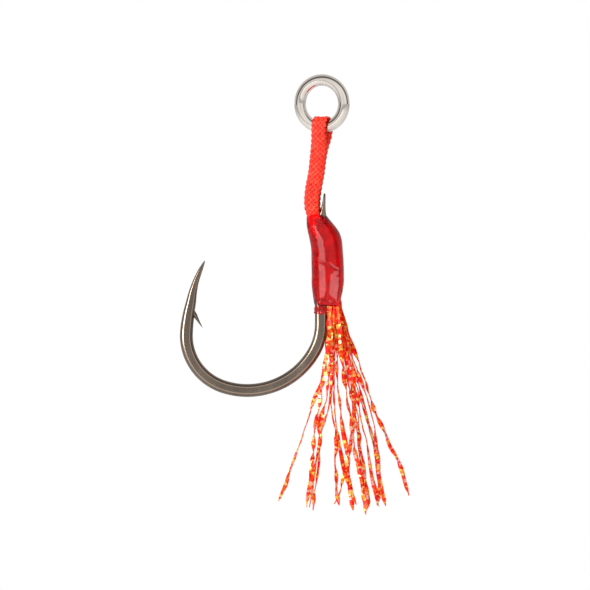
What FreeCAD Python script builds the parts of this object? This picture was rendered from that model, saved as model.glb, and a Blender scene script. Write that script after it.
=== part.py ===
"""Single assist hook: a barbed spade-end hook hung from a solid ring by a doubled braided cord.

The cord's two legs are bound to the shank with thread under a clear red resin coat, and a
tuft of tinsel hangs from the foot of the binding. Millimetres, +Z up. The origin is the centre
of the solid ring, the hook lies in the XZ plane, and its point is on the -X side.
"""
import FreeCAD, Part
import math
import os

from FreeCAD import Placement, Rotation, Vector

# Solid ring
RING_RADIUS = 3.78          # centre of the wire
RING_WIRE = 0.93            # radius of the wire
RING_TURN = -22.0           # degrees that the ring is turned about Z
EYE_Z = -RING_RADIUS        # height of the ring's lowest wire, where the cord hangs

# Hook wire, which is round with a flat forged on its front and back
WIRE_RADIUS = 1.04
FLAT_THICKNESS = 1.84       # between the two flats
FLAT_EDGE = 0.15            # radius along the edges of the flats
SHANK_X = -0.10
SHANK_TOP_Z = -20.0
BEND_TOP_Z = -35.25
BENDS = [(9.0, 30.0), (12.3, 108.0), (8.6, 181.0)]      # radius, heading at its end

# Outlines of the lofted pieces
SECTION_POINTS = 24
ROUND = 2.0                 # power of an oval outline
CORD_POWER = 3.0            # power of a leg's outline, which is squarer

# Spade at the head of the shank: height, x, size in X, size in Y. It ends inside the wire.
SPADE = [
    (-14.30, 0.42, 0.30, 1.30),
    (-14.65, 0.40, 0.38, 2.30),
    (-15.60, 0.33, 0.50, 2.90),
    (-16.70, 0.20, 0.75, 2.60),
    (-17.90, 0.05, 1.30, 2.20),
    (-19.30, SHANK_X, 1.88, 1.86),
    (-20.60, SHANK_X, 1.80, 1.70),
]

# Point: height, x, width, thickness. It starts inside the wire.
POINT_ROOT = (0.60, 1.96, 1.76)     # depth inside the wire, width, thickness
POINT = [
    (-34.35, -21.45, 1.92, 1.80),
    (-31.75, -20.92, 1.66, 1.50),
    (-29.15, -20.40, 1.14, 1.10),
    (-26.65, -19.46, 0.76, 0.72),
    (-25.10, -18.75, 0.10, 0.10),
]
BARB = [(-20.6, -31.9), (-20.05, -32.5), (-18.98, -35.95), (-20.75, -34.3), (-21.1, -33.4)]
BARB_THICKNESS = 0.84

# Braided cord: each leg is a flat braid
CORD_WIDTH = 2.45
CORD_THICKNESS = 0.80
BIGHT_THICKNESS = 0.58      # the braid is pressed flatter where it goes over the ring
EYE_CLEARANCE = 0.10        # between the bight and the wire that it turns on
LEG_OFFSET = 1.48           # from the wire's centre to each leg as it leaves the bight

# Legs: height, x of the front leg, x of the rear leg, y of both, turn, width, thickness
LEGS = [
    (-5.70, -0.50, 0.30, 0.98, -14.0, CORD_WIDTH, 0.72),
    (-7.00, -0.52, -0.22, 0.50, -3.0, CORD_WIDTH, CORD_THICKNESS),
    (-9.20, -0.74, -0.62, 0.45, 0.0, CORD_WIDTH, CORD_THICKNESS),
    (-11.20, -0.96, -0.84, 0.45, 0.0, CORD_WIDTH, CORD_THICKNESS),
    (-13.20, -1.38, -1.22, 0.45, 0.0, CORD_WIDTH, CORD_THICKNESS),
    (-15.20, -1.68, -1.48, 0.45, 0.0, 2.35, CORD_THICKNESS),
    (-17.00, -1.62, -1.42, 0.47, 0.0, 2.25, CORD_THICKNESS),
    (-18.00, -1.28, -1.20, 0.60, 0.0, 2.00, CORD_THICKNESS),
    (-19.60, -0.85, -0.85, 1.10, 0.0, 1.90, CORD_THICKNESS),
    (-21.50, 0.10, 0.10, 1.42, 0.0, 2.00, 0.75),
    (-23.50, 0.55, 0.55, 1.50, 0.0, 2.10, 0.70),
    (-25.40, 0.66, 0.66, 1.50, 0.0, 2.10, 0.70),
    (-27.40, 0.70, 0.70, 1.50, 0.0, 2.10, 0.70),
    (-29.30, 0.70, 0.70, 1.50, 0.0, 2.10, 0.70),
]

# Bends in the cord: height, x, axis, cap radius and its distance from the bend's centre
UPPER_BEND = (-7.40, -0.45, "side", 1.50, 1.64)
FOLD = (-10.90, -0.88, "fold", 1.00, 1.16)
ROOT_BEND = (-14.00, -1.45, "side", 1.50, 1.64)

# Coat over the binding: height, left x, right x, half size in Y
COAT = [
    (-17.65, -2.56, 0.56, 1.45),
    (-18.95, -2.56, 1.60, 1.90),
    (-20.25, -2.40, 2.72, 2.20),
    (-21.50, -2.08, 3.20, 2.40),
    (-23.40, -1.76, 3.40, 2.40),
    (-26.00, -1.76, 3.60, 2.40),
    (-28.50, -1.76, 3.60, 2.40),
    (-30.20, -1.60, 3.36, 2.25),
    (-31.60, -1.36, 3.00, 1.95),
    (-32.40, -1.22, 2.86, 1.65),
]
COAT_WALL = 0.25
COLLAR_FOOT_Z = -33.85
COLLAR_WALL = 0.09

# Tinsel
TINSEL_WIDTH = 0.76
TINSEL_THICKNESS = 0.08
TINSEL_COLUMNS = {"inner": 1.50, "outer": 2.34}      # x of the strips as they leave the coat
TINSEL_ROWS = 8
TINSEL_PITCH = 0.20         # between rows, in Y
TINSEL_FAN = 2.2            # degrees that each row leans away from the next
TINSEL_HEAD_Z = -23.5       # cut ends inside the binding
TINSEL_TOP_Z = -33.05       # where the free strips start
STRAND_LEVELS = (-48.0, -56.0)

# Strips of each tuft: column, row, x at the two levels, x and height of the tip
TUFTS = {
    "tinsel_front": [
        ("inner", 0, -1.4, -4.2, -7.0, -63.6),
        ("inner", 1, 0.6, -0.6, -2.0, -64.7),
        ("inner", 2, 1.6, 2.1, 2.8, -64.4),
        ("inner", 3, 2.7, 4.05, 5.1, -65.2),
        ("outer", 0, 4.1, 5.3, 7.1, -65.9),
        ("outer", 1, 5.1, 5.9, 7.4, -65.0),
    ],
    "tinsel_back": [
        ("inner", 4, -0.3, -1.5, -2.5, -64.7),
        ("inner", 5, 2.0, 3.1, 5.5, -64.2),
        ("inner", 6, 4.4, 6.2, 6.9, -64.8),
        ("inner", 7, 1.2, -0.3, -1.4, -65.2),
        ("outer", 7, 5.0, 4.4, 1.9, -64.1),
    ],
    "tinsel_outer": [
        ("outer", 2, 5.9, 7.5, 9.0, -64.6),
        ("outer", 3, 6.3, 8.6, 8.8, -64.3),
        ("outer", 4, 6.8, 8.5, 10.3, -64.4),
        ("outer", 5, 7.3, 9.1, 9.7, -63.5),
        ("outer", 6, 8.0, 11.6, 13.9, -62.8),
    ],
}


def section(width, thickness, power, centre, heading=0.0, turn=0.0):
    """A closed section, tilted about Y and turned about Z.

    A power of 2 makes an oval, and a higher power squares its corners.
    """
    points = []
    for step in range(SECTION_POINTS):
        angle = 2 * math.pi * step / SECTION_POINTS
        along, across = math.cos(angle), math.sin(angle)
        x = math.copysign(abs(along) ** (2 / power), along) * width / 2
        y = math.copysign(abs(across) ** (2 / power), across) * thickness / 2
        points.append(Vector(x, y, 0))
    curve = Part.BSplineCurve()
    curve.interpolate(points, PeriodicFlag=True)
    wire = Part.Wire([curve.toShape()])
    tilt = Rotation(Vector(0, 1, 0), heading)
    spin = Rotation(Vector(0, 0, 1), turn)
    wire.Placement = Placement(Vector(*centre), spin.multiply(tilt))
    return wire


def box(x_range, y_range, z_range):
    """A plain block between three pairs of limits."""
    sizes = [high - low for low, high in (x_range, y_range, z_range)]
    return Part.makeBox(*sizes, Vector(x_range[0], y_range[0], z_range[0]))


def inward(heading):
    """Unit vector from the hook's wire towards the inside of its bend."""
    angle = math.radians(heading)
    return Vector(-math.cos(angle), 0, math.sin(angle))


def forge(shape):
    """The shape with flats pressed on its front and back."""
    half = FLAT_THICKNESS / 2
    return shape.common(box((-30, 10), (-half, half), (-60, 0)))


def soften_flats(wire):
    """The wire with the long edges of its flats rounded."""
    half = FLAT_THICKNESS / 2
    edges = []
    for edge in wire.Edges:
        span = edge.BoundBox
        on_flat = span.YLength < 0.001 and abs(abs(span.YMin) - half) < 0.001
        if on_flat and edge.Length > FLAT_THICKNESS:
            edges.append(edge)
    return wire.makeFillet(FLAT_EDGE, edges)


def bent_wire():
    """The shank and the bend, and the place and heading where the bend ends."""
    top = Vector(SHANK_X, 0, SHANK_TOP_Z)
    place = Vector(SHANK_X, 0, BEND_TOP_Z)
    heading = 0.0
    edges = [Part.LineSegment(top, place).toShape()]
    for radius, end_heading in BENDS:
        centre = place + inward(heading) * radius
        middle = centre - inward((heading + end_heading) / 2) * radius
        end = centre - inward(end_heading) * radius
        edges.append(Part.Arc(place, middle, end).toShape())
        place, heading = end, end_heading
    round_section = Part.Wire(Part.makeCircle(WIRE_RADIUS, top, Vector(0, 0, -1)))
    round_wire = Part.Wire(edges).makePipeShell([round_section], True, False)
    return soften_flats(forge(round_wire)), place, heading


def spade():
    """The flattened head, broad across the hook's plane and leaning away from the point."""
    sections = [section(thick, wide, ROUND, (x, 0, z)) for z, x, thick, wide in SPADE]
    return Part.makeLoft(sections, True, False)


def point(start, start_heading):
    """The tapering point, from inside the end of the bend to the tip."""
    depth, root_width, root_thickness = POINT_ROOT
    root = (start.x, 0, start.z - depth)
    stations = [(root[2], root[0])] + POINT
    sections = [section(root_width, root_thickness, ROUND, root, start_heading)]
    for index in range(1, len(stations)):
        z, x, width, thickness = stations[index]
        before = stations[index - 1]
        after = stations[min(index + 1, len(stations) - 1)]
        lean = math.degrees(math.atan2(after[1] - before[1], after[0] - before[0]))
        sections.append(section(width, thickness, ROUND, (x, 0, z), 180 + lean))
    return Part.makeLoft(sections, True, False)


def barb():
    """The sliver cut up from the inside of the point."""
    corners = [Vector(x, -BARB_THICKNESS / 2, z) for x, z in BARB]
    face = Part.Face(Part.makePolygon(corners + corners[:1]))
    return face.extrude(Vector(0, BARB_THICKNESS, 0))


def make_hook():
    wire, end, heading = bent_wire()
    return wire.fuse([spade(), point(end, heading), barb()]).removeSplitter()


def make_solid_ring():
    axis = Rotation(Vector(0, 0, 1), RING_TURN).multVec(Vector(0, 1, 0))
    return Part.makeTorus(RING_RADIUS, RING_WIRE, Vector(0, 0, 0), axis)


def bight():
    """The cord's turn over the ring's wire, hollowed to follow the ring's curve."""
    half = CORD_WIDTH / 2
    rise = RING_RADIUS - math.sqrt(RING_RADIUS**2 - half**2)
    inner = RING_WIRE + EYE_CLEARANCE
    outer = inner + BIGHT_THICKNESS
    inside = [(-half, inner + rise), (0, inner), (half, inner + rise)]
    outside = [(half, outer + rise), (0, outer), (-half, outer + rise)]
    inside, outside = [[Vector(x, 0, z) for x, z in row] for row in (inside, outside)]
    outline = Part.Wire([
        Part.Arc(*inside).toShape(),
        Part.LineSegment(inside[2], outside[0]).toShape(),
        Part.Arc(*outside).toShape(),
        Part.LineSegment(outside[2], inside[0]).toShape(),
    ])
    face = Part.Face(outline)
    face.rotate(Vector(0, 0, 0), Vector(1, 0, 0), -95)
    turn = face.revolve(Vector(0, 0, 0), Vector(1, 0, 0), 190)
    turn.rotate(Vector(0, 0, 0), Vector(0, 0, 1), RING_TURN)
    turn.translate(Vector(0, 0, EYE_Z))
    return turn


def leg(side):
    """One leg of the cord, front (-1) or rear (+1), from the bight to its cut end."""
    away = Rotation(Vector(0, 0, 1), RING_TURN).multVec(Vector(0, side, 0))
    sections = []
    for drop, offset in ((0.0, LEG_OFFSET), (0.75, LEG_OFFSET - 0.06)):
        centre = away * offset + Vector(0, 0, EYE_Z - drop)
        sections.append(
            section(CORD_WIDTH, BIGHT_THICKNESS, CORD_POWER, centre, turn=RING_TURN)
        )
    for z, front_x, rear_x, y, turn, width, thickness in LEGS:
        centre = (front_x if side < 0 else rear_x, side * y, z)
        sections.append(section(width, thickness, CORD_POWER, centre, turn=turn))
    return Part.makeLoft(sections, True, False)


def kept_side(bend, side):
    """The space above (+1) or below (-1) a bend, ending in a round cap that clears it."""
    z, x, kind, radius, distance = bend
    cap_z = z + side * distance
    reach = (cap_z, cap_z + 30) if side > 0 else (cap_z - 30, cap_z)
    block = box((-8, 8), (-8, 8), reach)
    if kind == "side":
        cap = Part.makeCylinder(radius, 16, Vector(x, -8, cap_z), Vector(0, 1, 0))
    else:
        cap = Part.makeCylinder(radius, 16, Vector(-8, 0, cap_z), Vector(1, 0, 0))
    return block.fuse(cap)


def between(shape, keeps):
    for keep in keeps:
        shape = shape.common(keep)
    return shape


def make_cord(hook):
    """The cord in four lengths, one for each body that it bends between."""
    spans = {
        "cord_eye": [kept_side(UPPER_BEND, 1)],
        "cord_upper": [kept_side(UPPER_BEND, -1), kept_side(FOLD, 1)],
        "cord_lower": [kept_side(FOLD, -1), kept_side(ROOT_BEND, 1)],
        "cord_bound_end": [kept_side(ROOT_BEND, -1)],
    }
    legs = [leg(-1), leg(1)]
    pieces = {}
    for name, keeps in spans.items():
        pieces[name] = Part.makeCompound([between(whole, keeps) for whole in legs])
    eye = bight()
    for length in pieces["cord_eye"].Solids:
        eye = eye.fuse(length)
    pieces["cord_eye"] = eye
    pieces["cord_bound_end"] = pieces["cord_bound_end"].cut(hook)
    return pieces


def coat_body(inset):
    """The outline of the binding, drawn in by inset all round."""
    sections = []
    for z, left, right, half_y in COAT:
        width, thickness = right - left - 2 * inset, 2 * (half_y - inset)
        sections.append(section(width, thickness, ROUND, ((left + right) / 2, 0, z)))
    return Part.makeLoft(sections, True, False)


def row_y(row):
    return (row - (TINSEL_ROWS - 1) / 2) * TINSEL_PITCH


def make_tinsel_butts():
    """The bound ends of all the strips, side by side along the shank."""
    foot_z = COAT[-1][0]
    strips = []
    for rows in TUFTS.values():
        for column, row, *_ in rows:
            x, y = TINSEL_COLUMNS[column], row_y(row)
            strips.append(box(
                (x - TINSEL_WIDTH / 2, x + TINSEL_WIDTH / 2),
                (y - TINSEL_THICKNESS / 2, y + TINSEL_THICKNESS / 2),
                (foot_z, TINSEL_HEAD_Z),
            ))
    return Part.makeCompound(strips)


def make_binding(hook, cord_end, butts):
    """The resin coat and the thread inside it, both shaped round what they hold."""
    top_z, foot_z = COAT[0][0], COAT[-1][0]
    held = [hook, cord_end, butts]
    middle = box((-8, 8), (-8, 8), (foot_z + COAT_WALL, top_z - COAT_WALL))
    thread = coat_body(COAT_WALL).common(middle)
    coat = coat_body(0.0).cut([thread] + held)
    return coat, thread.cut(held)


def make_tail_whipping(hook):
    """The collar of thread round the shank below the coat."""
    height = COAT[-1][0] - COLLAR_FOOT_Z
    foot = Vector(SHANK_X, 0, COLLAR_FOOT_Z)
    return Part.makeCylinder(WIRE_RADIUS + COLLAR_WALL, height, foot).cut(hook)


def make_strip(column, row, upper_x, lower_x, tip_x, tip_z):
    """One free strip of tinsel: its route is flat, then leans out with its row."""
    start_x, y = TINSEL_COLUMNS[column], row_y(row)
    route = [
        (start_x, TINSEL_TOP_Z),
        (start_x + 0.06 * (upper_x - start_x), TINSEL_TOP_Z - 2.0),
        (upper_x, STRAND_LEVELS[0]),
        (lower_x, STRAND_LEVELS[1]),
        (tip_x, tip_z),
    ]
    curve = Part.BSplineCurve()
    curve.interpolate([Vector(x, y, z) for x, z in route])
    half_width, half_thickness = TINSEL_WIDTH / 2, TINSEL_THICKNESS / 2
    corners = [
        Vector(start_x + a * half_width, y + b * half_thickness, TINSEL_TOP_Z)
        for a, b in ((-1, -1), (1, -1), (1, 1), (-1, 1), (-1, -1))
    ]
    strip = Part.Wire([curve.toShape()]).makePipeShell([Part.makePolygon(corners)], True, False)
    lean = (row - (TINSEL_ROWS - 1) / 2) * TINSEL_FAN
    strip.rotate(Vector(0, y, TINSEL_TOP_Z), Vector(1, 0, 0), lean)
    return strip


def build_parts():
    hook = make_hook()
    parts = {"hook": hook, "solid_ring": make_solid_ring()}
    parts.update(make_cord(hook))
    parts["tinsel_butts"] = make_tinsel_butts()
    coat, thread = make_binding(hook, parts["cord_bound_end"], parts["tinsel_butts"])
    parts["resin_coat"] = coat
    parts["main_whipping"] = thread
    parts["tail_whipping"] = make_tail_whipping(hook)
    for tuft, strips in TUFTS.items():
        for number, strip in enumerate(strips, start=1):
            parts[f"{tuft}_{number}"] = make_strip(*strip)
    return parts


def main():
    os.makedirs("parts", exist_ok=True)
    for name, shape in build_parts().items():
        shape.exportStep(f"parts/{name}.step")


main()
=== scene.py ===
import math

import bpy
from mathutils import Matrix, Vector, noise


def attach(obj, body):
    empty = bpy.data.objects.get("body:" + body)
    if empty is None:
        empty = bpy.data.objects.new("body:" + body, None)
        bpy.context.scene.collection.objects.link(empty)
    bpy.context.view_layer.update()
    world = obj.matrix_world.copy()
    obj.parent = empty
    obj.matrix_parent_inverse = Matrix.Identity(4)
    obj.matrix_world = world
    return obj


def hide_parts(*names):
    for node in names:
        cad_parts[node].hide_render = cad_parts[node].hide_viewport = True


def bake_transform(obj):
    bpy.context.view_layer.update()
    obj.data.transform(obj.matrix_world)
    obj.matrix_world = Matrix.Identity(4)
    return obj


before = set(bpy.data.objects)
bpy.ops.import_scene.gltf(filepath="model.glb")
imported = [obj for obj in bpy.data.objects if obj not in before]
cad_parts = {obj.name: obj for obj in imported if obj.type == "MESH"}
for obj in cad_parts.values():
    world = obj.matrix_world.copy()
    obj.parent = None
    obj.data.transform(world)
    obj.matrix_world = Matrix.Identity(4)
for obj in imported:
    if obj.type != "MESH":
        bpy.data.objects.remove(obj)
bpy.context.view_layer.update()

MM = 0.001

# Solid ring and the cord's turn over it
RING_RADIUS = 3.78
RING_WIRE = 0.93
RING_TURN = math.radians(-22.0)
BIGHT_RADIUS = 1.38
RING_SIDES = 48

# Each leg of the cord, from where it leaves the ring down into the binding: x, y, z
REAR_LEG = [
    (0.53, 1.32, -4.53), (0.30, 0.98, -5.70), (-0.22, 0.50, -7.00), (-0.62, 0.45, -9.20),
    (-0.84, 0.45, -11.20), (-1.22, 0.45, -13.20), (-1.48, 0.45, -15.20), (-1.42, 0.47, -17.00),
    (-1.20, 0.60, -18.00), (-0.85, 1.10, -19.60), (0.10, 1.42, -21.50),
]
FRONT_LEG = [
    (-0.53, -1.32, -4.53), (-0.50, -0.98, -5.70), (-0.52, -0.50, -7.00), (-0.74, -0.45, -9.20),
    (-0.96, -0.45, -11.20), (-1.38, -0.45, -13.20), (-1.68, -0.45, -15.20), (-1.62, -0.47, -17.00),
    (-1.28, -0.60, -18.00), (-0.85, -1.10, -19.60), (0.10, -1.42, -21.50),
]
# How the flat braid lies: height, turn in degrees, width, thickness
BRAID_LIE = [
    (-3.80, -22.0, 2.42, 0.58), (-5.70, -14.0, 2.42, 0.72), (-7.00, -3.0, 2.45, 0.80),
    (-9.20, 0.0, 2.45, 0.80), (-13.20, 0.0, 2.45, 0.80), (-15.20, 0.0, 2.35, 0.80),
    (-17.00, 0.0, 2.25, 0.80), (-18.00, 0.0, 2.00, 0.80), (-21.50, 0.0, 1.95, 0.75),
]
STRANDS_EACH_WAY = 6
BRAID_PITCH = 5.0           # length in which a strand goes once round
BRAID_STEP = 0.085
STRAND_HALF_WIDTH = 0.285
STRAND_HALF_THICKNESS = 0.13
STRAND_RISE = 0.09          # how far a strand lifts over the one that it crosses
STRAND_INSET = 0.14         # from the braid's outside to the middle of its strands
OUTLINE_STEPS = 720

# Where the cord's three lengths meet, clear of its bends
UPPER_SEAM = -9.40
LOWER_SEAM = -12.20

END_ROUND = 0.6             # length over which the coat turns in at its ends
END_TUCK = 0.45             # how far it turns in
# Outline of the binding: height, left x, right x, half depth
BINDING = [
    (-17.65, -2.50, 0.52, 1.40), (-18.95, -2.54, 1.58, 1.88), (-20.25, -2.38, 2.70, 2.18),
    (-21.50, -2.06, 3.18, 2.38), (-23.40, -1.75, 3.39, 2.39), (-26.00, -1.75, 3.58, 2.39),
    (-28.50, -1.74, 3.58, 2.38), (-30.20, -1.59, 3.34, 2.24), (-31.60, -1.35, 2.98, 1.94),
    (-32.40, -1.21, 2.84, 1.64),
]
# Hook: the spade's stations downwards, then the wire, then the point's stations.
# Each is x, height, half width in the hook's plane and half thickness across it.
SPADE = [
    (0.42, -14.34, 0.10, 0.52), (0.41, -14.55, 0.17, 1.02), (0.38, -15.05, 0.21, 1.33),
    (0.33, -15.60, 0.25, 1.44), (0.27, -16.20, 0.30, 1.40), (0.20, -16.80, 0.39, 1.28),
    (0.12, -17.40, 0.52, 1.18), (0.05, -17.90, 0.65, 1.10), (-0.04, -18.60, 0.82, 1.01),
    (-0.10, -19.40, 0.96, 0.95), (-0.10, -20.40, 1.04, 0.92),
]
BEND_TOP = (-0.10, -35.25, 1.04, 0.92)
BENDS = [(9.0, 0.0, 30.0, 12), (12.3, 30.0, 108.0, 28), (8.6, 108.0, 181.0, 26)]
POINT = [
    (-21.66, -36.20, 1.035, 0.915), (-21.58, -35.30, 1.01, 0.90), (-21.45, -34.35, 0.97, 0.87),
    (-21.29, -33.30, 0.91, 0.83), (-21.10, -32.40, 0.86, 0.79), (-20.92, -31.55, 0.80, 0.74),
    (-20.76, -30.60, 0.71, 0.67), (-20.57, -29.75, 0.63, 0.60), (-20.34, -28.90, 0.54, 0.52),
    (-20.05, -28.05, 0.47, 0.45), (-19.73, -27.25, 0.41, 0.39), (-19.40, -26.50, 0.33, 0.32),
    (-19.07, -25.80, 0.22, 0.21), (-18.85, -25.35, 0.12, 0.12), (-18.76, -25.14, 0.04, 0.04),
]
BARB = [
    (-21.05, -32.70, 0.20, 0.30), (-20.62, -33.30, 0.34, 0.44), (-20.32, -33.85, 0.37, 0.42),
    (-20.02, -34.35, 0.27, 0.36), (-19.70, -34.90, 0.17, 0.27), (-19.38, -35.42, 0.10, 0.16),
    (-19.12, -35.84, 0.03, 0.04),
]
PROFILE_FLAT = 0.885        # how far out the flats lie on a section of radius 1

THREAD_RADIUS = 0.112
THREAD_PITCH = 0.205
THREAD_DEPTH = 0.42         # from the outside of the coat to the middle of the thread
SHANK_X = -0.10
COLLAR_TOP = -32.15
COLLAR_FOOT = -33.82
# Resin skin of the collar: height, half width, half depth
COLLAR = [
    (-31.90, 0.80, 0.80), (-32.05, 1.02, 1.02), (-32.25, 1.14, 1.16), (-32.50, 1.20, 1.20),
    (-32.75, 1.17, 1.17), (-33.00, 1.19, 1.18), (-33.25, 1.21, 1.20), (-33.50, 1.17, 1.17),
    (-33.70, 1.12, 1.12), (-33.84, 1.00, 0.98),
]

# Tinsel: size of a strip, pitch and lean of the rows, and the heights where strips start
STRIP_HALF_WIDTH = 0.46
STRIP_THICKNESS = 0.035
ROW_PITCH = 0.20
ROW_LEAN = math.radians(2.2)
STRIP_TOP = -33.05
STRIP_ROOT = -31.40
STRIP_CURL = 0.13           # how far the foil cups across its width
# Where each row leaves the binding, beside its column
INNER_SPREAD = (-0.42, 0.10, -0.20, 0.32, -0.62, 0.22, 0.40, -0.12)
OUTER_SPREAD = (-0.05, -0.28, 0.30, -0.12, 0.46, 0.14, 0.58, 0.02)

# Strips of each tuft: row, amount of twist, phase, then the route's x and height
TUFTS = {
    "tinsel_front": [
        (0, 2.6, 0.0, [(1.50, -33.0), (1.5, -37.0), (0.5, -42.5), (-1.44, -48.2), (-2.9, -52.7),
                       (-4.3, -56.2), (-5.76, -60.7), (-7.0, -63.6)]),
        (1, 2.2, 0.9, [(1.50, -33.0), (1.6, -37.5), (1.2, -43.0), (0.64, -47.4), (-0.48, -51.9),
                       (-0.5, -54.8), (-0.96, -57.5), (-1.6, -60.4), (-2.0, -64.7)]),
        (2, 2.8, 0.4, [(1.50, -33.0), (1.9, -38.5), (1.6, -44.0), (1.34, -49.0), (2.08, -51.7),
                       (2.3, -54.4), (2.0, -57.4), (2.3, -61.3), (2.8, -64.4)]),
        (3, 2.4, 1.7, [(1.50, -33.0), (2.2, -39.0), (2.5, -44.0), (2.72, -47.7), (3.2, -51.3),
                       (3.85, -54.5), (4.13, -57.2), (4.32, -60.8), (5.1, -65.2)]),
        (0, 3.0, 2.2, [(2.34, -33.0), (2.9, -37.5), (3.3, -42.5), (4.16, -48.2), (4.96, -52.2),
                       (5.0, -54.8), (6.0, -58.6), (6.56, -61.8), (7.1, -65.9)]),
        (1, 2.3, 1.1, [(2.34, -33.0), (3.3, -38.0), (4.3, -43.0), (5.28, -47.4), (6.08, -52.2),
                       (5.76, -55.4), (6.4, -58.0), (7.4, -62.4), (7.3, -65.0)]),
    ],
    "tinsel_back": [
        (4, 2.5, 0.6, [(1.50, -33.0), (1.4, -37.0), (0.7, -42.5), (-0.32, -47.4), (-1.02, -51.6),
                       (-1.5, -55.8), (-1.7, -58.4), (-2.16, -61.8), (-2.5, -64.7)]),
        (5, 2.9, 1.4, [(1.50, -33.0), (1.9, -38.0), (1.9, -44.0), (2.0, -48.6), (2.24, -52.2),
                       (2.9, -55.6), (3.6, -58.5), (4.6, -62.0), (5.5, -64.2)]),
        (6, 2.1, 2.6, [(1.50, -33.0), (2.5, -38.5), (3.9, -43.5), (4.8, -47.7), (5.6, -52.2),
                       (5.92, -54.8), (6.72, -57.8), (6.88, -61.8), (6.9, -64.8)]),
        (7, 2.7, 0.2, [(1.50, -33.0), (1.6, -38.0), (1.6, -43.5), (1.28, -48.2), (0.0, -51.6),
                       (-0.4, -55.0), (-0.8, -59.4), (-1.2, -61.8), (-1.4, -65.2)]),
        (7, 2.4, 1.9, [(2.34, -33.0), (3.3, -38.5), (4.6, -44.0), (5.2, -48.6), (4.9, -53.4),
                       (4.29, -56.5), (3.76, -58.6), (2.98, -61.9), (1.9, -64.1)]),
    ],
    "tinsel_outer": [
        (2, 2.6, 0.8, [(2.34, -33.0), (3.3, -37.5), (4.7, -43.0), (5.76, -47.7), (6.24, -51.4),
                       (7.04, -53.8), (7.6, -57.0), (8.4, -61.4), (9.0, -64.6)]),
        (3, 2.2, 2.0, [(2.34, -33.0), (3.4, -37.5), (5.0, -43.0), (6.24, -47.7), (7.36, -50.8),
                       (8.3, -54.2), (9.2, -58.6), (9.2, -61.4), (8.8, -64.3)]),
        (4, 2.8, 1.3, [(2.34, -33.0), (3.6, -37.5), (5.2, -43.0), (6.56, -47.7), (8.0, -52.5),
                       (8.6, -56.0), (9.1, -60.4), (10.3, -64.4)]),
        (5, 2.5, 0.1, [(2.34, -33.0), (3.7, -37.5), (5.6, -42.6), (7.36, -47.4), (8.32, -51.4),
                       (8.7, -54.4), (9.3, -58.8), (9.7, -63.5)]),
        (6, 3.1, 2.4, [(2.34, -33.0), (3.9, -37.0), (6.1, -42.4), (8.16, -48.2), (9.12, -50.6),
                       (10.6, -54.2), (12.3, -57.4), (13.3, -60.6), (13.9, -62.8)]),
    ],
}

FLOOR_Z = -67.4

# What the camera takes in: its width, and the x and height of its middle
PICTURE_WIDTH = 94.4
PICTURE_X = -4.32
PICTURE_HEIGHT = -30.62


def at(x, y, z):
    return Vector((x, y, z)) * MM


def lie(table, height):
    """The row of figures at a height, between the two rows that it lies between."""
    if height >= table[0][0]:
        return table[0][1:]
    for upper, lower in zip(table, table[1:]):
        if height >= lower[0]:
            share = (upper[0] - height) / (upper[0] - lower[0])
            return [a + (b - a) * share for a, b in zip(upper[1:], lower[1:])]
    return table[-1][1:]


def take(obj):
    """Puts everything else down and picks up one piece."""
    if bpy.context.object and bpy.context.object.mode != "OBJECT":
        bpy.ops.object.mode_set(mode="OBJECT")
    bpy.ops.object.select_all(action="DESELECT")
    obj.select_set(True)
    bpy.context.view_layer.objects.active = obj


def put_down():
    if bpy.context.object and bpy.context.object.mode != "OBJECT":
        bpy.ops.object.mode_set(mode="OBJECT")
    bpy.ops.object.select_all(action="DESELECT")


def settle(obj):
    """Puts the piece's place in its mesh."""
    take(obj)
    bpy.ops.object.transform_apply(location=True, rotation=True, scale=True)


def clean(obj):
    """Closes the seams and points every face outwards."""
    take(obj)
    bpy.ops.object.mode_set(mode="EDIT")
    bpy.ops.mesh.select_all(action="SELECT")
    bpy.ops.mesh.remove_doubles(threshold=1e-7)
    bpy.ops.mesh.normals_make_consistent(inside=False)
    bpy.ops.object.mode_set(mode="OBJECT")


def smooth(obj, angle=50):
    take(obj)
    bpy.ops.object.shade_smooth_by_angle(angle=math.radians(angle))


def apply_modifier(obj, kind, **settings):
    modifier = obj.modifiers.new(kind.title(), kind)
    for key, value in settings.items():
        setattr(modifier, key, value)
    take(obj)
    bpy.ops.object.modifier_apply(modifier=modifier.name)


def coat_with(obj, material):
    obj.data.materials.clear()
    obj.data.materials.append(material)


def evenly(points, spacing):
    """Points the same distance apart along a line."""
    spots = [points[0].copy()]
    left = spacing
    for start, end in zip(points, points[1:]):
        run = (end - start).length
        done = 0.0
        while run - done >= left:
            done += left
            spots.append(start.lerp(end, done / run))
            left = spacing
        left -= run - done
    return spots


def route(controls, spacing):
    """Even points read from a smooth spline, in metres."""
    data = bpy.data.curves.new("route", "CURVE")
    data.dimensions = "3D"
    spline = data.splines.new("NURBS")
    spline.points.add(len(controls) - 1)
    for point, control in zip(spline.points, controls):
        point.co = (*control, 1.0)
    spline.order_u = 3
    spline.use_endpoint_u = True
    data.resolution_u = 20
    holder = bpy.data.objects.new("route", data)
    bpy.context.scene.collection.objects.link(holder)
    mesh = bpy.data.meshes.new_from_object(holder)
    points = [vertex.co.copy() for vertex in mesh.vertices]
    bpy.data.objects.remove(holder)
    bpy.data.curves.remove(data)
    bpy.data.meshes.remove(mesh)
    return evenly(points, spacing)


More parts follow.
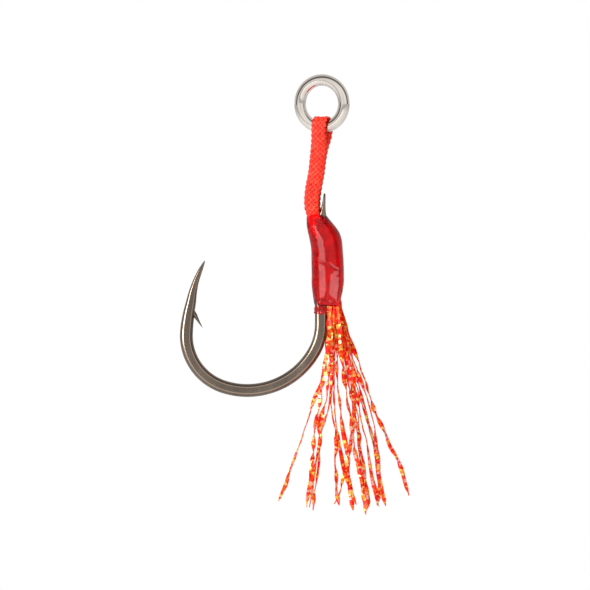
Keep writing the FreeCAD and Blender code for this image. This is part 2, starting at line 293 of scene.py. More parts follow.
class Skin:
    """Tubes and strips gathered into one mesh, with a map that runs round and along them."""

    def __init__(self):
        self.vertices, self.faces, self.places = [], [], []

    def tube(self, rings, spacing, start=0.0):
        base, sides = len(self.vertices), len(rings[0])
        for ring in rings:
            self.vertices.extend(ring)
        for row in range(len(rings) - 1):
            for side in range(sides):
                near, far = base + row * sides, base + (row + 1) * sides
                after = (side + 1) % sides
                self.faces.append((near + side, near + after, far + after, far + side))
                low, high = start + row * spacing, start + (row + 1) * spacing
                left, right = side / sides, (side + 1) / sides
                self.places.extend([(left, low), (right, low), (right, high), (left, high)])
        last = base + (len(rings) - 1) * sides
        self.faces.append(tuple(base + side for side in reversed(range(sides))))
        self.faces.append(tuple(last + side for side in range(sides)))
        self.places.extend([(0.5, start)] * sides)
        self.places.extend([(0.5, start + len(rings) * spacing)] * sides)

    def build(self, name):
        mesh = bpy.data.meshes.new(name)
        mesh.from_pydata(self.vertices, [], self.faces)
        layer = mesh.uv_layers.new(name="along")
        for loop, place in zip(layer.data, self.places):
            loop.uv = place
        obj = bpy.data.objects.new(name, mesh)
        bpy.context.scene.collection.objects.link(obj)
        clean(obj)
        smooth(obj, 60)
        return obj


def round_section(centre, side, out, half_width, half_height, sides):
    """One ring of a tube's skin."""
    ring = []
    for step in range(sides):
        angle = 2 * math.pi * step / sides
        ring.append(
            centre + side * (half_width * math.cos(angle)) + out * (half_height * math.sin(angle))
        )
    return ring


def tangents(points):
    last = len(points) - 1
    return [
        (points[min(i + 1, last)] - points[max(i - 1, 0)]).normalized() for i in range(last + 1)
    ]


# Camera, floor and light

def place_camera():
    camera = bpy.data.objects.new("camera", bpy.data.cameras.new("camera"))
    bpy.context.scene.collection.objects.link(camera)
    camera.data.type = "ORTHO"
    camera.data.ortho_scale = PICTURE_WIDTH * MM
    camera.data.clip_start = 0.01
    camera.location = at(PICTURE_X, -300.0, PICTURE_HEIGHT)
    camera.rotation_euler = (math.radians(90), 0, 0)
    bpy.context.scene.camera = camera


def lay_floor():
    put_down()
    bpy.ops.mesh.primitive_plane_add(size=6.0, location=at(0, 0, FLOOR_Z))
    floor = bpy.context.object
    floor.name = "floor"
    settle(floor)
    material, _, shader = new_material("floor_white")
    shader.inputs["Base Color"].default_value = (0.95, 0.95, 0.95, 1)
    shader.inputs["Roughness"].default_value = 1.0
    shader.inputs["Specular IOR Level"].default_value = 0.0
    coat_with(floor, material)


def soft_box(name, place, aim, size, power, colour=(1, 1, 1)):
    data = bpy.data.lights.new(name, "AREA")
    data.shape = "RECTANGLE"
    data.size, data.size_y = size
    data.energy = power
    data.color = colour
    light = bpy.data.objects.new(name, data)
    bpy.context.scene.collection.objects.link(light)
    light.location = at(*place)
    light.rotation_euler = (at(*aim) - at(*place)).to_track_quat("-Z", "Y").to_euler()
    light.visible_camera = False
    return light


def light_studio():
    """A white tent, with darker gaps at its front corners that draw the edges of the metal."""
    world = bpy.data.worlds.new("studio")
    world.use_nodes = True
    bpy.context.scene.world = world
    tree = world.node_tree
    tent = tree.nodes["Background"]
    direction = tree.nodes.new("ShaderNodeTexCoord")
    parts = tree.nodes.new("ShaderNodeSeparateXYZ")
    span = tree.nodes.new("ShaderNodeMapRange")
    span.inputs["From Min"].default_value = -1.0
    ramp = tree.nodes.new("ShaderNodeValToRGB")
    elements = ramp.color_ramp.elements
    elements[0].position = 0.0
    elements[0].color = (0.80, 0.79, 0.78, 1)
    elements[1].position = 1.0
    elements[1].color = (0.78, 0.77, 0.76, 1)
    for place, shade in ((0.07, 1.0), (0.20, 0.86), (0.27, 0.24), (0.34, 0.04), (0.43, 0.16),
                         (0.54, 0.60)):
        element = elements.new(place)
        element.color = (shade, shade * 0.97, shade * 0.94, 1)
    plain = tree.nodes.new("ShaderNodeBackground")
    plain.inputs["Color"].default_value = (1, 1, 1, 1)
    ray = tree.nodes.new("ShaderNodeLightPath")
    mix = tree.nodes.new("ShaderNodeMixShader")
    tree.links.new(direction.outputs["Generated"], parts.inputs[0])
    tree.links.new(parts.outputs["Y"], span.inputs["Value"])
    tree.links.new(span.outputs["Result"], ramp.inputs["Fac"])
    tree.links.new(ramp.outputs["Color"], tent.inputs["Color"])
    tree.links.new(ray.outputs["Is Camera Ray"], mix.inputs["Fac"])
    tree.links.new(tent.outputs[0], mix.inputs[1])
    tree.links.new(plain.outputs[0], mix.inputs[2])
    tree.links.new(mix.outputs[0], tree.nodes["World Output"].inputs["Surface"])
    bpy.context.scene.view_settings.view_transform = "Standard"
    front = soft_box("front_box", (-120, -300, 60), (0, 0, -30), (0.30, 0.30), 0.55)
    front.visible_glossy = False
    top = soft_box("top_box", (-60, -120, 260), (0, 0, -20), (0.26, 0.16), 0.45)
    top.visible_glossy = False


def shine_on(lamp, pieces):
    """Keeps a lamp to the shine of some of the pieces."""
    lit = bpy.data.collections.new(lamp.name + "_lit")
    for piece in pieces:
        lit.objects.link(piece)
    lamp.light_linking.receiver_collection = lit
    lamp.visible_diffuse = False


def light_pieces(bare, resin):
    """Soft boxes beside the object: one far off for the bare pieces, a near pair for resin."""
    shine_on(soft_box("left_strip", (-254, -158, -26), (0, 0, -26), (0.19, 0.26), 1.5), bare)
    shine_on(soft_box("left_near", (-45, -60, -38), (0, 0, -29), (0.062, 0.056), 0.055), resin)
    shine_on(soft_box("right_near", (55, -52, -46), (2, -2, -29), (0.095, 0.044), 0.065), resin)


# Finishes

def new_material(name):
    material = bpy.data.materials.new(name)
    material.use_nodes = True
    return material, material.node_tree, material.node_tree.nodes["Principled BSDF"]


def add_node(tree, kind, **inputs):
    made = tree.nodes.new(kind)
    for key, value in inputs.items():
        made.inputs[key.replace("_", " ")].default_value = value
    return made


def tint(tree, source, stops):
    """Colours spread over a value."""
    ramp = tree.nodes.new("ShaderNodeValToRGB")
    elements = ramp.color_ramp.elements
    while len(elements) < len(stops):
        elements.new(0.5)
    for element, (place, colour) in zip(elements, stops):
        element.position = place
        element.color = (*colour, 1)
    tree.links.new(source, ramp.inputs["Fac"])
    return ramp.outputs["Color"]


def grain_group():
    """Fine uneven wear: a value for colour or gloss, and a bumped normal."""
    group = bpy.data.node_groups.new("fine_grain", "ShaderNodeTree")
    face = group.interface
    for name, value in (("Scale", 900.0), ("Stretch", 1.0), ("Low", 0.2), ("High", 0.4),
                        ("Depth", 0.02)):
        socket = face.new_socket(name, in_out="INPUT", socket_type="NodeSocketFloat")
        socket.default_value = value
    face.new_socket("Value", in_out="OUTPUT", socket_type="NodeSocketFloat")
    face.new_socket("Normal", in_out="OUTPUT", socket_type="NodeSocketVector")
    given = group.nodes.new("NodeGroupInput")
    result = group.nodes.new("NodeGroupOutput")
    place = group.nodes.new("ShaderNodeTexCoord")
    squeeze = group.nodes.new("ShaderNodeCombineXYZ")
    squeeze.inputs[0].default_value = 1.0
    squeeze.inputs[1].default_value = 1.0
    scaled = group.nodes.new("ShaderNodeVectorMath")
    scaled.operation = "MULTIPLY"
    pattern = group.nodes.new("ShaderNodeTexNoise")
    pattern.inputs["Detail"].default_value = 4.0
    spread = group.nodes.new("ShaderNodeMapRange")
    spread.inputs["From Min"].default_value = 0.3
    spread.inputs["From Max"].default_value = 0.7
    bump = group.nodes.new("ShaderNodeBump")
    bump.inputs["Distance"].default_value = 0.0001
    link = group.links.new
    link(given.outputs["Stretch"], squeeze.inputs[2])
    link(place.outputs["Object"], scaled.inputs[0])
    link(squeeze.outputs[0], scaled.inputs[1])
    link(scaled.outputs[0], pattern.inputs["Vector"])
    link(given.outputs["Scale"], pattern.inputs["Scale"])
    link(pattern.outputs["Fac"], spread.inputs["Value"])
    link(given.outputs["Low"], spread.inputs["To Min"])
    link(given.outputs["High"], spread.inputs["To Max"])
    link(pattern.outputs["Fac"], bump.inputs["Height"])
    link(given.outputs["Depth"], bump.inputs["Strength"])
    link(spread.outputs["Result"], result.inputs["Value"])
    link(bump.outputs["Normal"], result.inputs["Normal"])
    return group


def place_grain(tree, group, **values):
    grain = tree.nodes.new("ShaderNodeGroup")
    grain.node_tree = group
    for key, value in values.items():
        grain.inputs[key].default_value = value
    return grain


def polished_steel(grain):
    material, tree, shader = new_material("polished_steel")
    wear = place_grain(tree, grain, Scale=500.0, Low=0.05, High=0.09, Depth=0.002)
    tone = place_grain(tree, grain, Scale=260.0, Low=0.0, High=1.0)
    colour = tint(tree, tone.outputs["Value"],
                  [(0.0, (0.68, 0.63, 0.58)), (1.0, (0.84, 0.80, 0.755))])
    shader.inputs["Metallic"].default_value = 1.0
    tree.links.new(colour, shader.inputs["Base Color"])
    tree.links.new(wear.outputs["Value"], shader.inputs["Roughness"])
    tree.links.new(wear.outputs["Normal"], shader.inputs["Normal"])
    return material


def dark_nickel(grain):
    material, tree, shader = new_material("dark_nickel")
    drawn = place_grain(tree, grain, Scale=900.0, Stretch=0.25, Low=0.22, High=0.34, Depth=0.012)
    tone = place_grain(tree, grain, Scale=420.0, Stretch=0.2, Low=0.0, High=1.0)
    colour = tint(tree, tone.outputs["Value"],
                  [(0.0, (0.145, 0.116, 0.094)), (1.0, (0.215, 0.174, 0.143))])
    shader.inputs["Metallic"].default_value = 1.0
    # Painted highlight: a lighter warm brown along the edges of the flats, standing in for the
    # light that these edges catch.
    edge_highlight = tree.nodes.new("ShaderNodeAttribute")
    edge_highlight.attribute_name = "worn_edge"
    edge_highlight_mix = tree.nodes.new("ShaderNodeMix")
    edge_highlight_mix.data_type = "RGBA"
    edge_highlight_mix.inputs["B"].default_value = (0.46, 0.35, 0.26, 1)
    tree.links.new(edge_highlight.outputs["Fac"], edge_highlight_mix.inputs["Factor"])
    tree.links.new(colour, edge_highlight_mix.inputs["A"])
    tree.links.new(edge_highlight_mix.outputs["Result"], shader.inputs["Base Color"])
    tree.links.new(drawn.outputs["Value"], shader.inputs["Roughness"])
    tree.links.new(drawn.outputs["Normal"], shader.inputs["Normal"])
    return material


def braided_yarn(grain):
    """Orange-red yarn: fine filaments run along each strand, with a painted highlight along each
    strand's outer side and painted shade on its inner side.
    """
    material, tree, shader = new_material("braided_yarn")
    place = tree.nodes.new("ShaderNodeUVMap")
    place.uv_map = "along"
    shape = tree.nodes.new("ShaderNodeMapping")
    shape.inputs["Scale"].default_value = (22.0, 1.1, 1.0)
    filaments = add_node(tree, "ShaderNodeTexNoise", Scale=1.0, Detail=3.0)
    fuzz = place_grain(tree, grain, Scale=1500.0, Low=0.0, High=0.26)
    parts = tree.nodes.new("ShaderNodeSeparateXYZ")
    # The sine of the way round each strand paints a highlight on its outer side and shade on its
    # inner side, mixed with a fine fuzz of real fibre tone.
    round_way = tree.nodes.new("ShaderNodeMath")
    round_way.operation = "MULTIPLY"
    round_way.inputs[1].default_value = 2 * math.pi
    crown_highlight = tree.nodes.new("ShaderNodeMath")
    crown_highlight.operation = "SINE"
    crown_highlight_and_fuzz = tree.nodes.new("ShaderNodeMath")
    crown_highlight_and_fuzz.operation = "MULTIPLY_ADD"
    crown_highlight_and_fuzz.inputs[1].default_value = 0.34
    mixed = tree.nodes.new("ShaderNodeMath")
    mixed.operation = "MULTIPLY_ADD"
    mixed.inputs[1].default_value = 0.55
    colour = tint(tree, mixed.outputs[0], [
        (0.26, (0.30, 0.002, 0.001)), (0.50, (0.70, 0.012, 0.004)), (0.70, (0.92, 0.036, 0.014)),
        (0.90, (1.0, 0.11, 0.050))])
    tree.links.new(place.outputs[0], parts.inputs[0])
    tree.links.new(parts.outputs["X"], round_way.inputs[0])
    tree.links.new(round_way.outputs[0], crown_highlight.inputs[0])
    tree.links.new(crown_highlight.outputs[0], crown_highlight_and_fuzz.inputs[0])
    tree.links.new(fuzz.outputs["Value"], crown_highlight_and_fuzz.inputs[2])
    bump = add_node(tree, "ShaderNodeBump", Strength=0.5, Distance=0.00004)
    tree.links.new(place.outputs[0], shape.inputs[0])
    tree.links.new(shape.outputs[0], filaments.inputs["Vector"])
    tree.links.new(filaments.outputs["Fac"], mixed.inputs[0])
    tree.links.new(crown_highlight_and_fuzz.outputs[0], mixed.inputs[2])
    tree.links.new(colour, shader.inputs["Base Color"])
    tree.links.new(filaments.outputs["Fac"], bump.inputs["Height"])
    tree.links.new(bump.outputs[0], shader.inputs["Normal"])
    shader.inputs["Roughness"].default_value = 0.6
    shader.inputs["Specular IOR Level"].default_value = 0.3
    return material


def binding_thread(grain):
    material, tree, shader = new_material("binding_thread")
    tone = place_grain(tree, grain, Scale=800.0, Low=0.0, High=1.0, Depth=0.3)
    colour = tint(tree, tone.outputs["Value"],
                  [(0.0, (0.31, 0.0, 0.0004)), (1.0, (0.52, 0.0005, 0.0015))])
    tree.links.new(colour, shader.inputs["Base Color"])
    tree.links.new(tone.outputs["Normal"], shader.inputs["Normal"])
    shader.inputs["Roughness"].default_value = 0.5
    return material


def red_resin(grain, name, roughness, relief, colour):
    """Clear red resin, wet on the outside."""
    material, tree, shader = new_material(name)
    ripple = place_grain(tree, grain, Scale=160.0, Low=roughness, High=roughness * 2, Depth=relief)
    tree.links.new(ripple.outputs["Value"], shader.inputs["Roughness"])
    tree.links.new(ripple.outputs["Normal"], shader.inputs["Normal"])
    shader.inputs["Base Color"].default_value = (*colour, 1)
    shader.inputs["Transmission Weight"].default_value = 1.0
    shader.inputs["IOR"].default_value = 1.33
    return material


def bound_foil(grain):
    """The cut ends of the foil, stained red by the resin around them."""
    material, tree, shader = new_material("bound_foil")
    tone = place_grain(tree, grain, Scale=900.0, Low=0.0, High=1.0, Depth=0.4)
    colour = tint(tree, tone.outputs["Value"],
                  [(0.0, (0.55, 0.002, 0.001)), (1.0, (0.98, 0.060, 0.004))])
    tree.links.new(colour, shader.inputs["Base Color"])
    tree.links.new(tone.outputs["Normal"], shader.inputs["Normal"])
    shader.inputs["Metallic"].default_value = 0.5
    shader.inputs["Roughness"].default_value = 0.35
    return material


def tinsel_foil(grain):
    """Foil in red, orange, yellow and pink flecks that follow each strip."""
    material, tree, shader = new_material("tinsel_foil")
    place = tree.nodes.new("ShaderNodeUVMap")
    place.uv_map = "along"
    shape = tree.nodes.new("ShaderNodeMapping")
    shape.inputs["Scale"].default_value = (3.6, 2.5, 1.0)
    flecks = add_node(tree, "ShaderNodeTexVoronoi", Scale=1.0)
    chosen = tree.nodes.new("ShaderNodeSeparateColor")
    free = tree.nodes.new("ShaderNodeAttribute")
    free.attribute_name = "from_binding"
    picked = tree.nodes.new("ShaderNodeMath")
    picked.operation = "MULTIPLY"
    colour = tint(tree, picked.outputs[0], [
        (0.0, (0.66, 0.002, 0.0)), (0.20, (1.0, 0.008, 0.0)), (0.44, (1.0, 0.050, 0.0)),
        (0.64, (1.0, 0.17, 0.010)), (0.79, (1.0, 0.72, 0.10)), (0.94, (1.0, 0.34, 0.36))])
    tree.links.new(chosen.outputs[0], picked.inputs[0])
    tree.links.new(free.outputs["Fac"], picked.inputs[1])
    rough = tree.nodes.new("ShaderNodeMapRange")
    rough.inputs["To Min"].default_value = 0.22
    rough.inputs["To Max"].default_value = 0.45
    crinkle = place_grain(tree, grain, Scale=700.0, Depth=1.0)
    tree.links.new(place.outputs[0], shape.inputs[0])
    tree.links.new(shape.outputs[0], flecks.inputs["Vector"])
    tree.links.new(flecks.outputs["Color"], chosen.inputs[0])
    tree.links.new(chosen.outputs[1], rough.inputs["Value"])
    tree.links.new(rough.outputs["Result"], shader.inputs["Roughness"])
    tree.links.new(colour, shader.inputs["Base Color"])
    tree.links.new(crinkle.outputs["Normal"], shader.inputs["Normal"])
    shader.inputs["Metallic"].default_value = 0.55
    return material


# The cord

def cord_route():
    """The cord's line: up the rear leg, over the ring's wire and down the front leg."""
    away = Vector((math.sin(-RING_TURN), math.cos(RING_TURN), 0))
    reach = BIGHT_RADIUS / math.cos(math.radians(22.5))
    over = []
    for degrees in (22.5, 67.5, 112.5, 157.5):
        angle = math.radians(degrees)
        spot = away * (reach * math.cos(angle))
        over.append((spot.x, spot.y, -RING_RADIUS + reach * math.sin(angle)))
    controls = list(reversed(REAR_LEG)) + over + FRONT_LEG
    return route([at(*spot) for spot in controls], BRAID_STEP * MM)


def braid_outline():
    """Places round a squarish oval whose half sizes are 1."""
    spots = []
    for step in range(OUTLINE_STEPS):
        angle = 2 * math.pi * step / OUTLINE_STEPS
        across = math.copysign(abs(math.cos(angle)) ** 0.8, math.cos(angle))
        through = math.copysign(abs(math.sin(angle)) ** 0.8, math.sin(angle))
        spots.append((across, through))
    return spots


outline_tables = {}


def outline_place(share, half_width, half_thickness, spots):
    """A place a share of the way round, by distance rather than by angle, and its facing."""
    key = (round(half_width, 2), round(half_thickness, 2))
    if key not in outline_tables:
        total, table = 0.0, [0.0]
        for near, far in zip(spots, spots[1:] + spots[:1]):
            total += math.hypot((far[0] - near[0]) * key[0], (far[1] - near[1]) * key[1])
            table.append(total)
        outline_tables[key] = table
    table = outline_tables[key]
    goal = (share % 1.0) * table[-1]
    low, high = 0, len(spots)
    while high - low > 1:
        middle = (low + high) // 2
        low, high = (middle, high) if table[middle] <= goal else (low, middle)
    across, through = spots[low % len(spots)]
    after = spots[(low + 1) % len(spots)]
    part = (goal - table[low]) / max(table[low + 1] - table[low], 1e-9)
    across += (after[0] - across) * part
    through += (after[1] - through) * part
    facing = Vector((across / half_width, through / half_thickness)).normalized()
    return across * half_width, through * half_thickness, facing


def braid_frames(line):
    """At each point of the cord's line: its place, width way, outward way and half sizes."""
    frames = []
    for spot, ahead in zip(line, tangents(line)):
        turn, width, thickness = lie(BRAID_LIE, spot.z / MM)
        turn = math.radians(turn)
        wide = Vector((math.cos(turn), math.sin(turn), 0))
        out = ahead.cross(wide).normalized()
        frames.append((spot, wide, out, width / 2 - STRAND_INSET, thickness / 2 - STRAND_INSET))
    return frames


def saddle(across, height):
    """How far the ring's curve lifts the edges of the braid where it goes over the wire."""
    fade = min(max((height / MM + 6.0) / 2.0, 0.0), 1.0)
    return (RING_RADIUS - math.sqrt(RING_RADIUS**2 - across**2)) * fade


def strand_line(frames, number, way, spots):
    """One strand's line round the braid, and the way that it faces."""
    line, faces = [], []
    for step, (spot, wide, out, half_width, half_thickness) in enumerate(frames):
        length = step * BRAID_STEP
        share = number / STRANDS_EACH_WAY + way * length / BRAID_PITCH
        across, through, facing = outline_place(share, half_width, half_thickness, spots)
        weave = 2 * math.pi * STRANDS_EACH_WAY * length / BRAID_PITCH
        lift = way * STRAND_RISE * math.cos(weave)
        faced = wide * facing.x + out * facing.y
        place = spot + (wide * across + out * through + faced * lift) * MM
        place.z += saddle(across, spot.z) * MM
        line.append(place)
        faces.append(faced)
    return line, faces


def braid_skin():
    frames = braid_frames(cord_route())
    spots = braid_outline()
    skin = Skin()
    for way in (1, -1):
        for number in range(STRANDS_EACH_WAY):
            line, faces = strand_line(frames, number, way, spots)
            rings = []
            for place, ahead, facing in zip(line, tangents(line), faces):
                side = ahead.cross(facing).normalized()
                out = side.cross(ahead).normalized()
                rings.append(round_section(place, side, out, STRAND_HALF_WIDTH * MM,
                                           STRAND_HALF_THICKNESS * MM, 6))
            skin.tube(rings, BRAID_STEP, 3.1 * number + 1.7 * way)
    core = []
    for spot, wide, out, half_width, half_thickness in frames[::4]:
        ring = round_section(spot, wide, out, half_width * 0.96 * MM, half_thickness * MM, 12)
        for place in ring:
            place.z += saddle((place - spot).dot(wide) / MM, spot.z) * MM
        core.append(ring)
    skin.tube(core, BRAID_STEP * 4)
    return skin


def cut_length(whole, name, top, foot):
    """A length of the whole cord between two heights, with closed cut ends."""
    piece = whole.copy()
    piece.data = whole.data.copy()
    piece.name = name
    bpy.context.scene.collection.objects.link(piece)
    for height, up in ((top, 1), (foot, -1)):
        if height is None:
            continue
        take(piece)
        bpy.ops.object.mode_set(mode="EDIT")
        bpy.ops.mesh.select_all(action="SELECT")
        bpy.ops.mesh.bisect(plane_co=at(0, 0, height), plane_no=(0, 0, up), use_fill=True,
                            clear_outer=True)
        bpy.ops.object.mode_set(mode="OBJECT")
    return piece


def make_cord(yarn):
    whole = braid_skin().build("braid")
    coat_with(whole, yarn)
    eye = cut_length(whole, "cord_over_ring", None, UPPER_SEAM)
    middle = cut_length(whole, "cord_middle", UPPER_SEAM, LOWER_SEAM)
    root = cut_length(whole, "cord_into_binding", LOWER_SEAM, None)
    bpy.data.objects.remove(whole)
    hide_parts("cord_eye")
    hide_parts("cord_upper", "cord_lower")
    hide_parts("cord_bound_end")
    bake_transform(eye)
    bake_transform(middle)
    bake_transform(root)


# Ring and hook

def make_ring(steel):
    """A round section spun about the ring's axis."""
    centre = at(0, 0, 0)
    across = Vector((math.cos(RING_TURN), math.sin(RING_TURN), 0))
    axis = Vector((-math.sin(RING_TURN), math.cos(RING_TURN), 0))
    put_down()
    bpy.ops.mesh.primitive_circle_add(vertices=RING_SIDES, radius=RING_WIRE * MM)
    ring = bpy.context.object
    ring.name = "ring_wire"
    settle(ring)
    for step, vertex in enumerate(ring.data.vertices):
        angle = 2 * math.pi * step / RING_SIDES
        vertex.co = across * (RING_RADIUS + RING_WIRE * math.cos(angle)) * MM
        vertex.co += axis * (RING_WIRE * math.sin(angle) * MM)
    take(ring)
    bpy.ops.object.mode_set(mode="EDIT")
    bpy.ops.mesh.select_all(action="SELECT")
    bpy.ops.mesh.spin(steps=128, angle=2 * math.pi, center=centre, axis=axis)
    bpy.ops.object.mode_set(mode="OBJECT")
    clean(ring)
    smooth(ring, 60)
    coat_with(ring, steel)
    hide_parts("solid_ring")
    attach(ring, "ring")


def grow(rings):
    """Grows the selected ring through more of them, each square to the way it is heading.

    Each ring is x, height, half width and half thickness.
    """
    heading = [
        math.atan2(after[0] - before[0], -(after[1] - before[1]))
        for before, after in zip(rings, rings[1:])
    ]
    for index in range(1, len(rings)):
        x, height, half_width, half_thickness = rings[index]
        old_x, old_height, old_width, old_thickness = rings[index - 1]
        here = at(x, 0, height)
        bpy.ops.mesh.extrude_region_move(
            TRANSFORM_OT_translate={"value": here - at(old_x, 0, old_height)})
        if index > 1:
            before = heading[index - 2]
            after = heading[index - 1]
            bpy.ops.transform.rotate(value=after - before, orient_axis="Y",
                                     center_override=here)
        wider = half_width / old_width
        bpy.ops.transform.resize(value=(wider, half_thickness / old_thickness, wider),
                                 center_override=here)


def flattened_ring(name, x, height, half_width, half_thickness, sides):
    """An open ring with a flat pressed on its front and back, ready to grow; the edges of the
    flats are marked for a painted highlight line.
    """
    put_down()
    bpy.ops.mesh.primitive_circle_add(vertices=sides, radius=MM, location=at(x, 0, height))
    obj = bpy.context.object
    obj.name = name
    settle(obj)
    edge_highlight = obj.data.attributes.new("worn_edge", "FLOAT", "POINT")
    flat = PROFILE_FLAT * MM
    for vertex, value in zip(obj.data.vertices, edge_highlight.data):
        pressed = abs(vertex.co.y) - flat
        # Marks the vertices at the edges of the flats, where a lighter warm colour is painted as a
        # highlight line.
        value.value = 1.0 if -0.05 * MM < pressed < 0.01 * MM else 0.0
        vertex.co.y = min(max(vertex.co.y, -flat), flat)
    bpy.ops.object.mode_set(mode="EDIT")
    bpy.ops.mesh.select_all(action="SELECT")
    bpy.ops.mesh.edge_face_add()
    bpy.ops.transform.resize(value=(half_width, half_thickness / PROFILE_FLAT, half_width),
                             center_override=at(x, 0, height))
    return obj


def selected_middle(obj):
    bpy.ops.object.mode_set(mode="OBJECT")
    spots = [vertex.co for vertex in obj.data.vertices if vertex.select]
    bpy.ops.object.mode_set(mode="EDIT")
    return sum(spots, Vector()) / len(spots)


def bend_wire(obj):
    """Spins the wire's end round each bend in turn."""
    place = at(BEND_TOP[0], 0, BEND_TOP[1])
    for radius, start, end, steps in BENDS:
        heading = math.radians(start)
        centre = place + Vector((-math.cos(heading), 0, math.sin(heading))) * (radius * MM)
        bpy.ops.mesh.spin(steps=steps, angle=math.radians(end - start), center=centre,
                          axis=(0, -1, 0))
        place = selected_middle(obj)
    return place


def make_barb():
    x, height, half_width, half_thickness = BARB[0]
    barb = flattened_ring("barb", x, height, half_width, half_thickness, 16)
    lean = math.atan2(BARB[1][0] - x, height - BARB[1][1])
    bpy.ops.transform.rotate(value=lean, orient_axis="Y", center_override=at(x, 0, height))
    grow(BARB)
    bpy.ops.object.mode_set(mode="OBJECT")
    return barb


def make_hook(nickel):
    """One length of wire: a flattened spade, a straight shank, the bend and the point."""
    hook = flattened_ring("hook_wire", *SPADE[0], 48)
    grow(SPADE)
    bpy.ops.mesh.extrude_region_move(
        TRANSFORM_OT_translate={"value": at(0, 0, BEND_TOP[1] - SPADE[-1][1])})
    place = bend_wire(hook)
    start = (place.x / MM, place.z / MM, BEND_TOP[2], BEND_TOP[3])
    grow([start] + POINT)
    bpy.ops.object.mode_set(mode="OBJECT")
    barb = make_barb()
    take(hook)
    barb.select_set(True)
    bpy.ops.object.join()
    clean(hook)
    smooth(hook, 60)
    coat_with(hook, nickel)
    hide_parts("hook")
    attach(hook, "hook")


def finish_node(name, material):
    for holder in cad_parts[name].material_slots:
        holder.material = material


# The binding

def sleeve(name, stations, sides):
    """A closed tube grown ring by ring: height, centre x, half width and half depth."""
    height, x, half_x, half_y = stations[0]
    put_down()
    bpy.ops.mesh.primitive_circle_add(vertices=sides, radius=MM, location=at(x, 0, height),
                                      fill_type="NGON")
    obj = bpy.context.object
    obj.name = name
    settle(obj)
    bpy.ops.object.mode_set(mode="EDIT")
    bpy.ops.mesh.select_all(action="SELECT")
    bpy.ops.transform.resize(value=(half_x, half_y, 1), center_override=at(x, 0, height))
    for next_height, next_x, next_half_x, next_half_y in stations[1:]:
        step = at(next_x - x, 0, next_height - height)
        bpy.ops.mesh.extrude_region_move(TRANSFORM_OT_translate={"value": step})
        bpy.ops.transform.resize(value=(next_half_x / half_x, next_half_y / half_y, 1),
                                 center_override=at(next_x, 0, next_height))
        height, x, half_x, half_y = next_height, next_x, next_half_x, next_half_y
    bpy.ops.object.mode_set(mode="OBJECT")
    clean(obj)
    return obj


def eased(table, height):
    """The binding's outline at a height, rounded through its stations."""
    rows = [lie(table, height + offset) for offset in (-0.6, -0.3, 0.0, 0.3, 0.6)]
    return [sum(values) / len(values) for values in zip(*rows)]


def binding_stations():
    top, foot = BINDING[0][0], BINDING[-1][0]
    count = 96
    stations = []
    for step in range(count + 1):
        height = top + (foot - top) * step / count
        left, right, half_y = eased(BINDING, height)
        from_end = min(top - height, height - foot)
        turned_in = max(0.0, 1 - from_end / END_ROUND)
        tuck = END_TUCK * (1 - math.sqrt(1 - turned_in**2))
        stations.append((height, (left + right) / 2, (right - left) / 2 - tuck, half_y - tuck))
    return stations


def lump(obj, amount, scale, centre_x):
    """Uneven resin: the surface swells in and out, mostly inwards."""
    for vertex in obj.data.vertices:
        spot = vertex.co / MM
        swell = noise.noise(spot * scale) * 0.7 + noise.noise(spot * scale * 2.3) * 0.3
        away = Vector((vertex.co.x - centre_x * MM, vertex.co.y, 0))
        if away.length > 1e-6:
            vertex.co += away.normalized() * ((swell - 0.45) * amount * MM)


def crease(coat):
    """A shallow fold across the front of the resin, and a gathered foot above the collar."""
    for vertex in coat.data.vertices:
        x, y, z = vertex.co / MM
        if y < 0:
            level = -25.25 - 0.45 * (x + 0.3)
            across = math.exp(-((x - 0.5) / 1.1) ** 2)
            dip = 0.24 * across * math.exp(-((z - level) / 0.16) ** 2)
            vertex.co.y += dip * MM
        foot = max(0.0, min(1.0, (-31.2 - z) / 1.2))
        ruffle = 0.10 * foot * math.sin(7.0 * math.atan2(y, x - 0.8) + 2.0 * z)
        vertex.co.x += ruffle * math.copysign(1, x - 0.8) * MM * 0.6
        vertex.co.y += ruffle * math.copysign(1, y) * MM * 0.6


def make_coat(resin):
    coat = sleeve("resin_coat", binding_stations(), 64)
    crease(coat)
    lump(coat, 0.07, 0.38, 0.8)
    smooth(coat, 60)
    coat_with(coat, resin)
    coat.name = "binding_coat"
    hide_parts("resin_coat")
    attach(coat, "hook")


def helix(centre_at, top, foot, pitch, sides_per_turn):
    """Points of a thread wound down, where centre_at gives centre x and half sizes by height."""
    points = []
    steps = int((top - foot) / pitch * sides_per_turn)
    for step in range(steps + 1):
        angle = 2 * math.pi * step / sides_per_turn
        height = top - pitch * step / sides_per_turn
        x, half_x, half_y = centre_at(height)
        points.append(at(x + half_x * math.cos(angle), half_y * math.sin(angle), height))
    return points


def wound_thread(name, points, radius, centre_x):
    skin = Skin()
    rings = []
    for place, ahead in zip(points, tangents(points)):
        out = Vector((place.x - centre_x * MM, place.y, 0)).normalized()
        rings.append(round_section(place, ahead.cross(out), out, radius * MM, radius * MM, 6))
    skin.tube(rings, 0.25)
    return skin.build(name)


def make_whipping(thread):
    def centre_at(height):
        left, right, half_y = eased(BINDING, height)
        inset = THREAD_DEPTH
        return (left + right) / 2, (right - left) / 2 - inset, half_y - inset

    points = helix(centre_at, -18.35, -32.15, THREAD_PITCH, 40)
    whipping = wound_thread("whipping_turns", points, THREAD_RADIUS, 0.8)
    coat_with(whipping, thread)
    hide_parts("main_whipping")
    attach(whipping, "hook")


